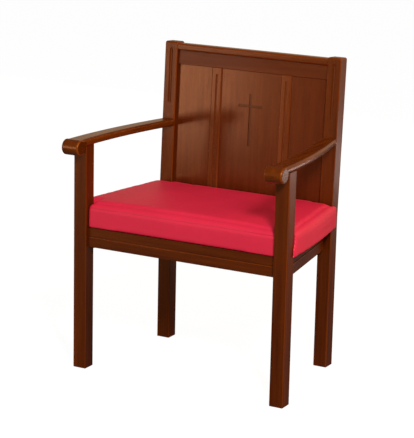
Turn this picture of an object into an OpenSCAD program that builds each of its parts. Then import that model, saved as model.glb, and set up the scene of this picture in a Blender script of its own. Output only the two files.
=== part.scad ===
// Choir chair: a doweled hardwood armchair with a panelled back and a boxed seat pad.
// X runs to the viewer's right, Y to the back, Z up. The origin is on the floor, in the middle of the whole width and depth.
// Left means the side at negative X.

/* [Legs and posts] */
// Side of the square section of legs and posts
leg_w = 41; // [34:1:46]
// Radius of the softened arrises of legs and posts
arris_r = 2.5; // [1:0.5:4]
// Width over the two front legs
front_span = 670; // [600:5:740]
// Width over the two rear posts
rear_span = 565; // [500:5:600]
// Depth over the feet, front leg to rear post
base_depth = 424; // [380:2:480]
// Height of the tops of the rear posts
overall_h = 896; // [820:2:980]
// Height at which the rear posts begin to lean
knee_z = 438; // [430:1:446]
// Lean of the back, in degrees
lean = 3; // [0:0.5:6]
// Width of the flute down the front of each rear post
flute_w = 7; // [4:0.5:10]
// Depth of the flutes of posts and muntins
flute_depth = 2; // [1:0.5:3]

/* [Seat rails] */
// Height of the rail tops, on which the pad rests
seat_z = 414; // [400:1:430]
// Thickness of the seat rails
rail_t = 19; // [16:1:22]
// Height of the front and rear rails
front_rail_h = 56; // [50:1:66]
// How much deeper the side rails reach than the front rail
side_drop = 11; // [10:1:24]
// Setback of the front rail from the faces of the front legs
front_setback = 10; // [4:1:12]
// Height of the raised lower band on each rail
band_h = 29; // [20:1:36]
// Step between the band and the face above it
band_step = 2; // [1:0.5:4]

/* [Arms] */
// Height of the arm tops
arm_z = 670; // [640:1:700]
// Thickness of the arm boards
arm_t = 21; // [18:1:26]
// Width of an arm at its nose
arm_front_w = 52; // [44:1:60]
// Width of an arm at the post
arm_rear_w = 44; // [36:1:50]
// How far each arm bows outward between nose and post
arm_bow = 12.5; // [0:0.5:20]
// Diameter of the rolled nose
nose_d = 44; // [36:1:50]
// How far the nose stands out in front of the leg
nose_out = 58; // [50:1:70]
// How far the nose stands proud of the board's top and edges
nose_proud = 0.6; // [0.4:0.1:1.5]

/* [Back] */
// Thickness of the cap rail
cap_t = 20; // [14:1:26]
// Drop of the cap rail below the post tops
cap_drop = 4; // [0:1:8]
// Setback of the cap rail from the post fronts
cap_setback = 1; // [0:0.5:4]
// Depth of the cap rail, front to back
cap_depth = 34; // [28:1:38]
// Radius of the rounded cap edges
cap_r = 4; // [2:0.5:7]
// Height of the frieze rail under the cap
frieze_h = 41; // [32:1:60]
// Height of the bottom rail of the back
bottom_rail_h = 36; // [30:1:37]
// Thickness of frieze, bottom rail and muntins
stile_t = 22; // [18:1:24]
// Setback of frieze and bottom rail from the post fronts
stile_setback = 9; // [5:0.5:11]
// Setback of the panels from the faces of the frieze and muntins
panel_setback = 4; // [2:0.5:6]
// Thickness of the panels
panel_t = 9; // [6:0.5:11]
// Width of a muntin
muntin_w = 34; // [28:1:44]
// Distance of each muntin's centre line from the middle
muntin_x = 112; // [90:1:140]
// Depth of the grooves that hold the panels
groove_depth = 6; // [4:0.5:7]
// Play of a panel in its groove
panel_play = 0.4; // [0.2:0.1:0.8]

/* [Cross] */
// Height of the cross cut in the centre panel
cross_h = 150; // [110:1:180]
// Length of its bar
cross_w = 76; // [54:1:90]
// Width of its strokes
cross_stroke = 7; // [5:0.5:10]
// Depth of the cut
cross_depth = 2; // [1:0.5:4]
// Distance from the top of the cross down to the middle of its bar
cross_bar_drop = 35; // [28:1:44]
// Distance from the frieze down to the top of the cross
cross_top_gap = 65; // [40:1:90]

/* [Seat pad] */
// Thickness of the plywood board in the pad
board_t = 12; // [9:1:15]
// Height of the pad from its underside to the seam
pad_h = 55; // [48:1:76]
// Rise of the pad from the seam to the rolled top edge
roll_h = 14; // [6:1:14]
// Further rise of the crown in the middle
crown_h = 9; // [4:1:16]
// Thickness of the vinyl cover
cover_t = 1.5; // [1:0.1:2]
// Width of the hem under the board
hem_w = 45; // [44:1:50]
// Space between the pad and the legs, posts and back
pad_clear = 0.5; // [0.3:0.1:1.5]
// Overhang of the pad past the outer face of a front leg
pad_out_front = 6; // [3:1:8]
// Overhang of the pad past the outer face of a rear post
pad_out_rear = 12; // [4:1:16]
// Outward bow of the pad sides
pad_bow = 6; // [0:1:10]
// How far the pad's front is drawn in between its corners
pad_draw = 3; // [0:0.5:6]
// Swell of the side walls between the hem and the seam
wall_swell = 2; // [0:0.5:3]
// Depth of the seam
seam_depth = 2; // [0.5:0.5:3]
// Corner radius of the pad
pad_r = 9; // [5:1:12]

/* [Joinery] */
// Diameter of the dowels
dowel_d = 8; // [6:0.5:9]
// Length of the dowels
dowel_len = 40; // [32:1:44]
// Play of a dowel or screw in its bore
bore_play = 0.2; // [0.1:0.05:0.4]
// Length of a corner block along each rail
block_leg = 70; // [64:1:84]
// Height of the corner blocks
block_h = 40; // [34:1:46]
// Shank diameter of the screws
screw_d = 4.5; // [3.5:0.5:5.5]
// Head diameter of the screws
screw_head_d = 9; // [8:0.5:10]
// Head height of the screws
screw_head_h = 3; // [2:0.5:4]
// Bite of a screw in the piece that it holds to
screw_bite = 10; // [7:0.5:11]

/* [Hidden] */

$fn = 32;
overrun = 1;

mahogany = [0.40, 0.17, 0.08];
mahogany_light = [0.52, 0.25, 0.14];
crimson = [0.80, 0.12, 0.22];
birch = [0.84, 0.72, 0.52];
foam_cream = [0.93, 0.88, 0.72];
steel = [0.66, 0.67, 0.69];

// Places of the frame. The feet lie further back than the origin, because the arms reach out in front
post_run = (overall_h - knee_z) / cos(lean);
back_reach = post_run * sin(lean) + leg_w * cos(lean);
feet_y = (nose_out + leg_w - back_reach) / 2;
front_y = feet_y - base_depth / 2;
front_back_y = front_y + leg_w;
rear_y = feet_y + base_depth / 2 - leg_w;
front_x = (front_span - leg_w) / 2;
rear_x = (rear_span - leg_w) / 2;
front_in_x = front_span / 2 - leg_w;
rear_in_x = rear_span / 2 - leg_w;
side_run = rear_y - front_back_y;
taper = atan((front_x - rear_x) / side_run);
taper_slope = tan(taper);
rail_x_t = rail_t / cos(taper);
front_leg_h = arm_z - arm_t;

// Places of the rails and their dowels
rail_z = seat_z - front_rail_h;
side_rail_h = front_rail_h + side_drop;
side_rail_z = seat_z - side_rail_h;
front_rail_y = front_y + front_setback;
rear_rail_y = rear_y + (leg_w - rail_t) / 2;
dowel_row = front_rail_h / 4;
bore_d = dowel_d + bore_play;
bore_reach = dowel_len / 2 + bore_play;
side_dowel_shift = taper_slope * dowel_len / 4;
front_side_dowel_x = front_in_x + rail_x_t / 2 - side_dowel_shift;
rear_side_dowel_x = rear_in_x + rail_x_t / 2 + side_dowel_shift;

// Places of the back, in its own leaning frame
cap_top = post_run - cap_drop;
frieze_top = cap_top - cap_t;
frieze_z = frieze_top - frieze_h;
panel_y = stile_setback + panel_setback;
groove_t = panel_t + panel_play / 2;
tongue = groove_depth - panel_play;
stile_mid_y = stile_setback + stile_t / 2;
cap_mid_y = cap_setback + cap_depth / 2;
cross_top = frieze_z - cross_top_gap;
muntin_flute_w = muntin_w / 6;
flute_r = flute_w * flute_w / 8 / flute_depth + flute_depth / 2;
flute_bottom = arm_z - knee_z + leg_w;
flute_top = cap_top - cap_t;

// Places of the arms and their dowels
nose_y = front_y - nose_out + nose_d / 2;
arm_rear_y = rear_y + leg_w;
arm_run = rear_y - nose_y;
arm_nose_x = front_x + (leg_w - arm_front_w) / 2 / 4;
arm_steps = 16;
arm_dowel_z = arm_z - arm_t / 2;
arm_dowel_x_gap = leg_w / 5;
arm_face_y = rear_y + (arm_dowel_z - knee_z) * tan(lean);
leg_dowel_up = arm_t * 2 / 3;

// Places of the pad
pad_front_y = front_rail_y;
pad_back_y = rear_y + stile_setback - pad_clear;
pad_mid_y = (pad_front_y + pad_back_y) / 2;
seam_z = seat_z + pad_h;
roll_z = seam_z + roll_h;
roll_in = 1.3 * roll_h;
roll_up_share = 0.6;
roll_in_share = 0.35;
board_z = seat_z + cover_t;
foam_z = board_z + board_t;
skin_gap = 0.3;
board_inset = cover_t + skin_gap;
seam_half = 1.5;
front_steps = 5;
corner_steps = 2;
side_steps = 6;
rear_steps = 2;
crown_rings = 3;

// Places of the corner blocks, measured from the corner between two rails
front_block_y = front_rail_y + rail_t;
rear_block_y = rear_rail_y;
cross_screw_share = 0.25;
along_screw_share = 0.6;
seat_screw_share = 0.33;
low_screw_share = 0.3;
high_screw_share = 0.7;

function mix(a, b, t) = a + (b - a) * t;
function arc(cx, cy, r, from, to, n) =
    [for (i = [0:n]) [cx + r * cos(mix(from, to, i / n)), cy + r * sin(mix(from, to, i / n))]];
function side_in_x(y) = front_in_x - (y - front_back_y) * taper_slope;

module right_and_left() {
    children();
    mirror([1, 0, 0]) children();
}

module leaning() {
    translate([0, rear_y, knee_z]) rotate([-lean, 0, 0]) children();
}

// A cylinder that starts at its place and runs along X, Y or Z
module rod_x(d, len) { rotate([0, 90, 0]) cylinder(d = d, h = len); }
module rod_y(d, len) { rotate([-90, 0, 0]) cylinder(d = d, h = len); }
module rod_z(d, len) { cylinder(d = d, h = len); }

module soft_square(w, d, r) {
    translate([r, 0]) square([w - 2 * r, d]);
    translate([0, r]) square([w, d - 2 * r]);
    for (x = [r, w - r], y = [r, d - r]) translate([x, y]) circle(r = r);
}

// Bores for the dowels of a rail that ends at an X face, and the dowels themselves
module end_dowels(x, y, z_rows, d, reach_out, reach_in) {
    for (z = z_rows) translate([x - reach_in, y, z]) rod_x(d, reach_in + reach_out);
}

front_rows = [seat_z - dowel_row, seat_z - 3 * dowel_row];
side_rows = [seat_z - 2 * dowel_row, seat_z - 4 * dowel_row];
row_shares = [0.35, 0.75];
bottom_row_shares = [0.25, 0.6];
frieze_rows = [for (share = row_shares) frieze_z + frieze_h * share];
bottom_rows = [for (share = bottom_row_shares) bottom_rail_h * share];

module front_rail_pins(d, reach) {
    end_dowels(front_in_x, front_rail_y + rail_t / 2, front_rows, d, reach, reach);
}

module rear_rail_pins(d, reach) {
    end_dowels(rear_in_x, rear_rail_y + rail_t / 2, front_rows, d, reach, reach);
}

module side_rail_pins(d, reach) {
    for (z = side_rows) {
        translate([front_side_dowel_x, front_back_y - reach, z]) rod_y(d, 2 * reach);
        translate([rear_side_dowel_x, rear_y - reach, z]) rod_y(d, 2 * reach);
    }
}

module arm_front_pin(d, reach_up, reach_down) {
    translate([front_x, front_y + leg_w / 2, front_leg_h - reach_down]) rod_z(d, reach_up + reach_down);
}

module arm_rear_pins(d, reach) {
    for (x = [rear_x - arm_dowel_x_gap / 2, rear_x + arm_dowel_x_gap * 3 / 2])
        translate([x, arm_face_y - reach, arm_dowel_z]) rod_y(d, 2 * reach);
}

module back_pins(d, reach) {
    leaning() {
        end_dowels(rear_in_x, stile_mid_y, frieze_rows, d, reach, reach);
        end_dowels(rear_in_x, stile_mid_y, bottom_rows, d, reach, reach);
        end_dowels(rear_in_x, cap_mid_y, [cap_top - cap_t / 2], d, reach, reach);
    }
}

// Legs and posts

module right_front_leg() {
    color(mahogany) difference() {
        translate([front_in_x, front_y, 0]) linear_extrude(front_leg_h) soft_square(leg_w, leg_w, arris_r);
        front_rail_pins(bore_d, bore_reach);
        side_rail_pins(bore_d, bore_reach);
        arm_front_pin(bore_d, overrun, bore_reach);
    }
}

// The plane that halves the angle between the two runs of a post, through the knee's front line
module knee_mitre() {
    translate([rear_in_x - overrun, rear_y, knee_z]) rotate([-lean / 2, 0, 0]) translate([0, -overrun, 0]) children();
}

module right_rear_post() {
    color(mahogany) difference() {
        union() {
            difference() {
                translate([rear_in_x, rear_y, 0]) linear_extrude(knee_z + overrun) soft_square(leg_w, leg_w, arris_r);
                knee_mitre() cube([leg_w + 2 * overrun, leg_w + 2 * overrun, leg_w]);
            }
            difference() {
                leaning() translate([rear_in_x, 0, -leg_w / 2])
                    linear_extrude(post_run + leg_w / 2) soft_square(leg_w, leg_w, arris_r);
                knee_mitre() translate([0, 0, -leg_w]) cube([leg_w + 2 * overrun, leg_w + 2 * overrun, leg_w]);
            }
        }
        side_rail_pins(bore_d, bore_reach);
        rear_rail_pins(bore_d, bore_reach);
        arm_rear_pins(bore_d, bore_reach);
        back_pins(bore_d, bore_reach);
        leaning() {
            translate([rear_in_x - overrun, panel_y, bottom_rail_h - groove_depth])
                cube([groove_depth + overrun, groove_t, frieze_z - bottom_rail_h + 2 * groove_depth]);
            translate([rear_x, flute_depth - flute_r, flute_bottom]) cylinder(r = flute_r, h = flute_top - flute_bottom);
        }
    }
}

// Seat rails

// A rail's section: u runs in from the face, v up from the lower edge
module rail_section(h) {
    polygon(concat(
        [[rail_t, 0], [rail_t, h], [band_step, h]],
        arc(band_step, band_h - band_step, band_step, 90, 180, 4),
        [[0, 0]]
    ));
}

module front_rail_body(len) {
    translate([-len / 2, 0, 0]) rotate([90, 0, 90]) linear_extrude(len) rail_section(front_rail_h);
}

module seat_front_rail() {
    color(mahogany) difference() {
        translate([0, front_rail_y, rail_z]) front_rail_body(2 * front_in_x);
        right_and_left() front_rail_pins(bore_d, bore_reach);
        right_and_left() block_cross_screw(front_block_y, 1, screw_d + bore_play);
    }
}

module seat_rear_rail() {
    color(mahogany) difference() {
        translate([0, rear_rail_y + rail_t, rail_z]) mirror([0, 1, 0]) front_rail_body(2 * rear_in_x);
        right_and_left() rear_rail_pins(bore_d, bore_reach);
        right_and_left() block_cross_screw(rear_block_y, -1, screw_d + bore_play);
    }
}

module right_side_rail() {
    color(mahogany) difference() {
        intersection() {
            translate([front_in_x + rail_x_t, front_back_y, side_rail_z])
                rotate([0, 0, taper]) translate([0, side_run * 2, 0]) rotate([90, 0, 0])
                    linear_extrude(side_run * 3) mirror([1, 0]) rail_section(side_rail_h);
            translate([0, front_back_y, 0]) cube([front_span, side_run, seat_z + overrun]);
        }
        side_rail_pins(bore_d, bore_reach);
        block_along_screw(front_block_y, 1, screw_d + bore_play);
        block_along_screw(rear_block_y, -1, screw_d + bore_play);
    }
}

// Arms

function arm_mid(t) = mix(arm_nose_x, rear_x, t) + arm_bow * 4 * t * (1 - t);
function arm_half(t) = mix(arm_front_w, arm_rear_w, t) / 2;
arm_edge = [for (side = [1, -1]) [for (i = [0:arm_steps])
    let (t = (side > 0 ? i : arm_steps - i) / arm_steps)
        [arm_mid(t) + side * arm_half(t), nose_y + arm_run * t]]];
arm_tail = [
    [arm_mid(1) + arm_half(1), arm_rear_y],
    [arm_mid(1) - arm_half(1), arm_rear_y],
];

module right_arm() {
    color(mahogany_light) difference() {
        union() {
            translate([0, 0, arm_z - arm_t]) linear_extrude(arm_t)
                polygon(concat(arm_edge[0], arm_tail, arm_edge[1]));
            translate([arm_nose_x - arm_front_w / 2 - nose_proud, nose_y, arm_z + nose_proud - nose_d / 2])
                rod_x(nose_d, arm_front_w + 2 * nose_proud);
        }
        leaning() cube([front_span, base_depth, post_run]);
        arm_front_pin(bore_d, leg_dowel_up + bore_play, overrun);
        arm_rear_pins(bore_d, bore_reach);
    }
}

// Back

module cap_rail() {
    color(mahogany_light) difference() {
        leaning() translate([-rear_in_x, cap_setback, frieze_top]) rotate([90, 0, 90])
            linear_extrude(2 * rear_in_x) soft_square(cap_depth, cap_t, cap_r);
        right_and_left() back_pins(bore_d, bore_reach);
    }
}

module frieze_rail() {
    color(mahogany) difference() {
        leaning() translate([-rear_in_x, stile_setback, frieze_z]) cube([2 * rear_in_x, stile_t, frieze_h]);
        right_and_left() back_pins(bore_d, bore_reach);
        leaning() translate([-rear_in_x - overrun, panel_y, frieze_z - overrun])
            cube([2 * rear_in_x + 2 * overrun, groove_t, groove_depth + overrun]);
    }
}

module bottom_rail() {
    color(mahogany) difference() {
        leaning() translate([-rear_in_x, stile_setback, 0]) cube([2 * rear_in_x, stile_t, bottom_rail_h]);
        right_and_left() back_pins(bore_d, bore_reach);
        leaning() translate([-rear_in_x - overrun, panel_y, bottom_rail_h - groove_depth])
            cube([2 * rear_in_x + 2 * overrun, groove_t, groove_depth + overrun]);
    }
}

module right_muntin() {
    muntin_h = frieze_z - bottom_rail_h;
    tenon_w = muntin_w - 2 * groove_depth;
    color(mahogany_light) leaning() difference() {
        union() {
            translate([muntin_x - muntin_w / 2, stile_setback, bottom_rail_h]) cube([muntin_w, stile_t, muntin_h]);
            translate([muntin_x - tenon_w / 2, panel_y, bottom_rail_h - tongue])
                cube([tenon_w, panel_t, muntin_h + 2 * tongue]);
        }
        for (side = [-1, 1])
            translate([muntin_x + side * (muntin_w / 2 + overrun / 2 - groove_depth / 2), panel_y + groove_t / 2,
                bottom_rail_h + muntin_h / 2])
                cube([groove_depth + overrun, groove_t, muntin_h + 2 * overrun], center = true);
        translate([muntin_x, stile_setback - muntin_flute_w / 2 + flute_depth, bottom_rail_h - overrun])
            cylinder(d = muntin_flute_w, h = muntin_h - muntin_w / 2 + overrun);
    }
}

module panel(from_x, to_x) {
    leaning() translate([from_x - tongue, panel_y, bottom_rail_h - tongue])
        cube([to_x - from_x + 2 * tongue, panel_t, frieze_z - bottom_rail_h + 2 * tongue]);
}

module right_panel() {
    color(mahogany_light) panel(muntin_x + muntin_w / 2, rear_in_x);
}

module centre_panel() {
    half = muntin_x - muntin_w / 2;
    color(mahogany_light) difference() {
        panel(-half, half);
        leaning() translate([0, panel_y - overrun, 0]) {
            translate([-cross_stroke / 2, 0, cross_top - cross_h]) cube([cross_stroke, cross_depth + overrun, cross_h]);
            translate([-cross_w / 2, 0, cross_top - cross_bar_drop - cross_stroke / 2])
                cube([cross_w, cross_depth + overrun, cross_stroke]);
        }
    }
}

// Seat pad

// Half of the pad's outline, from the middle of the front to the middle of the back, drawn in by inset.
// The free sides swell out by swell, the ones at legs, posts and back don't
function pad_half(inset, swell) =
    let (
        in_x = front_in_x - pad_clear - inset,
        notch_y = front_back_y + pad_clear + inset,
        out_x = front_span / 2 + pad_out_front - inset + swell,
        rear_out_x = rear_span / 2 + pad_out_rear - inset + swell,
        rear_notch_y = rear_y - pad_clear - inset,
        rear_x_in = rear_in_x - pad_clear - inset,
        fy = pad_front_y + inset - swell,
        by = pad_back_y - inset,
        sy0 = notch_y + pad_r,
        sy1 = rear_notch_y - pad_r,
        br = min(pad_r, by - rear_notch_y) / 2
    )
    concat(
        [for (i = [0:front_steps - 1]) let (t = i / front_steps)
            [(in_x - pad_r) * t, fy + pad_draw * (1 - t * t)]],
        arc(in_x - pad_r, fy + pad_r, pad_r, -90, 0, corner_steps),
        [[in_x, notch_y]],
        arc(out_x - pad_r, notch_y + pad_r, pad_r, -90, 0, corner_steps),
        [for (i = [1:side_steps - 1]) let (t = i / side_steps)
            [mix(out_x, rear_out_x, t) + pad_bow * 4 * t * (1 - t), mix(sy0, sy1, t)]],
        arc(rear_out_x - pad_r, rear_notch_y - pad_r, pad_r, 0, 90, corner_steps),
        [[rear_x_in, rear_notch_y]],
        arc(rear_x_in - br, by - br, br, 0, 90, corner_steps),
        [for (i = [1:rear_steps - 1]) [(rear_x_in - br) * (1 - i / rear_steps), by]]
    );

function flip(points) = [for (i = [len(points) - 1:-1:0]) [-points[i][0], points[i][1]]];
function without_first(points) = [for (i = [1:len(points) - 1]) points[i]];
function pad_outline(inset, swell = 0) =
    let (half = pad_half(inset, swell), other = flip(half))
    concat(half, [[0, pad_back_y - inset]], [for (i = [0:len(other) - 2]) other[i]]);

function ring(inset, z, swell = 0) = [for (p = pad_outline(inset, swell)) [p[0], p[1], z]];
function crown_ring(inset, z, rise, share) =
    [for (p = pad_outline(inset))
        [p[0] * (1 - share), mix(p[1], pad_mid_y, share), z + rise * share * (2 - share)]];

// Skin of stacked rings, closed by a fan to one point below and one above
module ring_stack(rings, top) {
    n = len(rings[0]);
    m = len(rings);
    points = concat([for (r = rings) for (p = r) p], [top, [top[0], top[1], rings[0][0][2]]]);
    base_fan = [for (i = [0:n - 1]) [i, (i + 1) % n, m * n + 1]];
    walls = [for (k = [0:m - 2]) for (i = [0:n - 1]) let (j = (i + 1) % n, a = k * n, b = (k + 1) * n)
        each [[a + i, b + i, b + j], [a + i, b + j, a + j]]];
    fan = [for (i = [0:n - 1]) [(m - 1) * n + i, m * n, (m - 1) * n + (i + 1) % n]];
    polyhedron(points = points, faces = concat(base_fan, walls, fan), convexity = 4);
}

module pad_skin() {
    ring_stack(concat(
        [
            ring(cover_t, seat_z),
            ring(0, seat_z + cover_t),
            ring(0, seat_z + pad_h / 2, wall_swell),
            ring(0, seam_z - seam_half),
            ring(seam_depth, seam_z),
            ring(0, seam_z + seam_half),
            ring(roll_h * roll_in_share, seam_z + roll_h * roll_up_share),
            ring(roll_in, roll_z),
        ],
        [for (i = [1:crown_rings]) crown_ring(roll_in, roll_z, crown_h, i / (crown_rings + 1))]
    ), [0, pad_mid_y, roll_z + crown_h]);
}

module pad_filling(from_z, extra) {
    inset = cover_t + extra;
    deep = inset * 1.5;
    ring_stack([
        ring(inset, from_z),
        ring(inset, seat_z + pad_h / 2),
        ring(inset + seam_depth, seam_z - seam_half),
        ring(inset + seam_depth, seam_z + seam_half),
        ring(deep + roll_in, roll_z - deep),
        crown_ring(deep + roll_in, roll_z - deep, crown_h, 0.5),
    ], [0, pad_mid_y, roll_z - deep + crown_h]);
}

module cover() {
    color(crimson) difference() {
        pad_skin();
        pad_filling(board_z, 0);
        translate([0, 0, seat_z - overrun]) linear_extrude(cover_t + 2 * overrun)
            polygon(pad_outline(hem_w));
        seat_screw_bores();
    }
}

module seat_screw_bores() {
    right_and_left() {
        block_seat_screw(front_block_y, 1, screw_d + bore_play);
        block_seat_screw(rear_block_y, -1, screw_d + bore_play);
    }
}

module board() {
    color(birch) difference() {
        translate([0, 0, board_z]) linear_extrude(board_t) polygon(pad_outline(board_inset));
        seat_screw_bores();
    }
}

module foam() {
    color(foam_cream) pad_filling(foam_z, skin_gap);
}

// Corner blocks. dir is 1 at the front corners and -1 at the rear ones

module block_plan(y, dir) {
    tip_y = y + dir * block_leg;
    polygon([
        [side_in_x(y) - block_leg, y],
        [dir > 0 ? front_in_x : rear_in_x, y],
        [dir > 0 ? front_in_x : rear_in_x, dir > 0 ? front_back_y : rear_y],
        [side_in_x(tip_y), tip_y],
    ]);
}

function cross_screw_x(y) = side_in_x(y) - block_leg * (1 - cross_screw_share);
function hypotenuse_y(y, dir, x) =
    mix(y, y + dir * block_leg, (x - side_in_x(y) + block_leg) / (side_in_x(y + dir * block_leg) - side_in_x(y) + block_leg));
function hypotenuse_x(y, dir, at_y) =
    mix(side_in_x(y) - block_leg, side_in_x(y + dir * block_leg), (at_y - y) / dir / block_leg);
block_z = seat_z - block_h;

module block_cross_screw(y, dir, d) {
    x = cross_screw_x(y);
    translate([x, y - dir * screw_bite, block_z + block_h * low_screw_share])
        rotate([dir * -90, 0, 0]) cylinder(d = d, h = screw_bite + block_leg * cross_screw_share / 2);
}

module block_cross_head(y, dir, d, h) {
    x = cross_screw_x(y);
    translate([x, y + dir * block_leg * cross_screw_share / 2, block_z + block_h * low_screw_share])
        rotate([dir * -90, 0, 0]) cylinder(d = d, h = h);
}

module block_along_screw(y, dir, d) {
    at_y = y + dir * block_leg * along_screw_share;
    x = side_in_x(at_y);
    translate([x - block_leg * cross_screw_share / 2, at_y, block_z + block_h * high_screw_share])
        rod_x(d, screw_bite + block_leg * cross_screw_share / 2);
}

module block_along_head(y, dir, d, h) {
    at_y = y + dir * block_leg * along_screw_share;
    translate([side_in_x(at_y) - block_leg * cross_screw_share / 2 - h, at_y, block_z + block_h * high_screw_share])
        rod_x(d, h);
}

module block_seat_screw(y, dir, d) {
    at_y = y + dir * block_leg * seat_screw_share;
    translate([side_in_x(at_y) - block_leg * seat_screw_share, at_y, block_z + screw_head_h])
        rod_z(d, block_h - screw_head_h + cover_t + min(screw_bite, board_t - cover_t));
}

module block_seat_head(y, dir, d, below) {
    at_y = y + dir * block_leg * seat_screw_share;
    translate([side_in_x(at_y) - block_leg * seat_screw_share, at_y, block_z - below])
        rod_z(d, screw_head_h + below);
}

module right_block(y, dir) {
    color(birch) difference() {
        translate([0, 0, block_z]) linear_extrude(block_h) block_plan(y, dir);
        block_cross_screw(y, dir, screw_d + bore_play);
        block_cross_head(y, dir, screw_head_d + bore_play, block_leg);
        block_along_screw(y, dir, screw_d + bore_play);
        block_along_head(y, dir, screw_head_d + bore_play, block_leg);
        block_seat_screw(y, dir, screw_d + bore_play);
        block_seat_head(y, dir, screw_head_d + bore_play, overrun);
    }
}

module screws_of_blocks() {
    color(steel) right_and_left() for (corner = [[front_block_y, 1], [rear_block_y, -1]]) {
        block_cross_screw(corner[0], corner[1], screw_d);
        block_cross_head(corner[0], corner[1], screw_head_d, screw_head_h);
        block_along_screw(corner[0], corner[1], screw_d);
        block_along_head(corner[0], corner[1], screw_head_d, screw_head_h);
    }
}

module screws_of_seat() {
    color(steel) right_and_left() for (corner = [[front_block_y, 1], [rear_block_y, -1]]) {
        block_seat_screw(corner[0], corner[1], screw_d);
        block_seat_head(corner[0], corner[1], screw_head_d, 0);
    }
}

// Dowels

module dowels_of_rails() {
    color(birch) right_and_left() {
        front_rail_pins(dowel_d, dowel_len / 2);
        rear_rail_pins(dowel_d, dowel_len / 2);
        side_rail_pins(dowel_d, dowel_len / 2);
    }
}

module dowels_of_arms() {
    color(birch) right_and_left() {
        arm_front_pin(dowel_d, leg_dowel_up, dowel_len / 2);
        arm_rear_pins(dowel_d, dowel_len / 2);
    }
}

module dowels_of_back() {
    color(birch) right_and_left() back_pins(dowel_d, dowel_len / 2);
}

mirror([1, 0, 0]) right_front_leg();  // front_leg_left
right_front_leg();  // front_leg_right
mirror([1, 0, 0]) right_rear_post();  // rear_post_left
right_rear_post();  // rear_post_right
mirror([1, 0, 0]) right_arm();  // arm_left
right_arm();  // arm_right
seat_front_rail();  // front_rail
seat_rear_rail();  // rear_rail
mirror([1, 0, 0]) right_side_rail();  // side_rail_left
right_side_rail();  // side_rail_right
cap_rail();  // back_cap
frieze_rail();  // back_frieze
bottom_rail();  // back_bottom_rail
mirror([1, 0, 0]) right_muntin();  // muntin_left
right_muntin();  // muntin_right
mirror([1, 0, 0]) right_panel();  // panel_left
centre_panel();  // panel_centre
right_panel();  // panel_right
board();  // seat_board
foam();  // seat_foam
cover();  // seat_cover
mirror([1, 0, 0]) right_block(front_block_y, 1);  // corner_block_front_left
right_block(front_block_y, 1);  // corner_block_front_right
mirror([1, 0, 0]) right_block(rear_block_y, -1);  // corner_block_rear_left
right_block(rear_block_y, -1);  // corner_block_rear_right
screws_of_blocks();  // block_screws
screws_of_seat();  // seat_screws
dowels_of_rails();  // rail_dowels
dowels_of_arms();  // arm_dowels
dowels_of_back();  // back_dowels
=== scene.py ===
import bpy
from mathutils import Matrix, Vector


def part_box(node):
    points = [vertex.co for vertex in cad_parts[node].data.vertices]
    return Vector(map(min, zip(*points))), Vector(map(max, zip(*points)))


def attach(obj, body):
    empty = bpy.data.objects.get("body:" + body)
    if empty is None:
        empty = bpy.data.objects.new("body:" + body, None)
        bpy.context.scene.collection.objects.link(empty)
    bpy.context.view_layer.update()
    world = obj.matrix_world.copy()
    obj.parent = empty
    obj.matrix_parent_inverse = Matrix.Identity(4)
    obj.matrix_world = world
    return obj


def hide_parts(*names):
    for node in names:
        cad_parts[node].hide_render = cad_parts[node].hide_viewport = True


bl_info = {
    "name": "Choir Chair",
    "version": (1, 0, 0),
    "blender": (4, 5, 0),
    "location": "3D View > Sidebar > Choir Chair",
    "description": "Dresses the frame of a wooden choir chair with its modelled pieces and finishes",
    "category": "Object",
}

from math import cos, exp, pi, radians, sin, tan

import bmesh
import bpy
from mathutils import Matrix, Vector, noise

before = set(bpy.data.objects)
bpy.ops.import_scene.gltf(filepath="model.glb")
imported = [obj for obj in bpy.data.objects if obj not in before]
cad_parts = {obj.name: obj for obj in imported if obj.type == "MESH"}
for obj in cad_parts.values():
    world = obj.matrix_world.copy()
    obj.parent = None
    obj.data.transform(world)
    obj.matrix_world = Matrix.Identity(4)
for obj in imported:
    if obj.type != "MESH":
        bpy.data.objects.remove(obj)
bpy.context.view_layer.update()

MM = 0.001

# Axes of a piece
X, Y, Z = range(3)

# How near a place must lie to count as the same, in a coarse and in a fine pick
NEAR = MM
CLOSE = MM / 10

# How closely a face or an edge must follow an axis to count as along it
ALONG = 0.9

# How far a cutting tool stands out of the wood
OVERRUN = MM

FRONT_LEG_LOW, FRONT_LEG_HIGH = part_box("front_leg_right")
REAR_POST_LOW, REAR_POST_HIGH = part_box("rear_post_right")
FRONT_RAIL_LOW, FRONT_RAIL_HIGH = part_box("front_rail")
REAR_RAIL_LOW, REAR_RAIL_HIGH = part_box("rear_rail")
SIDE_RAIL_LOW, SIDE_RAIL_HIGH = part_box("side_rail_right")
ARM_LOW, ARM_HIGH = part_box("arm_right")
PAD_LOW, PAD_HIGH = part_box("seat_cover")
BOARD_LOW, BOARD_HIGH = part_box("seat_board")
LEG_W = FRONT_LEG_HIGH.x - FRONT_LEG_LOW.x


# Sizes and colours that a user would change


def length(name, description, default):
    """A size in metres."""
    return bpy.props.FloatProperty(
        name=name,
        description=description,
        default=default,
        min=0.0,
        precision=4,
        subtype="DISTANCE",
        unit="LENGTH",
    )


def tint(name, description, default):
    """A colour in scene linear values."""
    return bpy.props.FloatVectorProperty(
        name=name,
        description=description,
        default=default,
        min=0.0,
        max=1.0,
        size=3,
        subtype="COLOR",
    )


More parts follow.
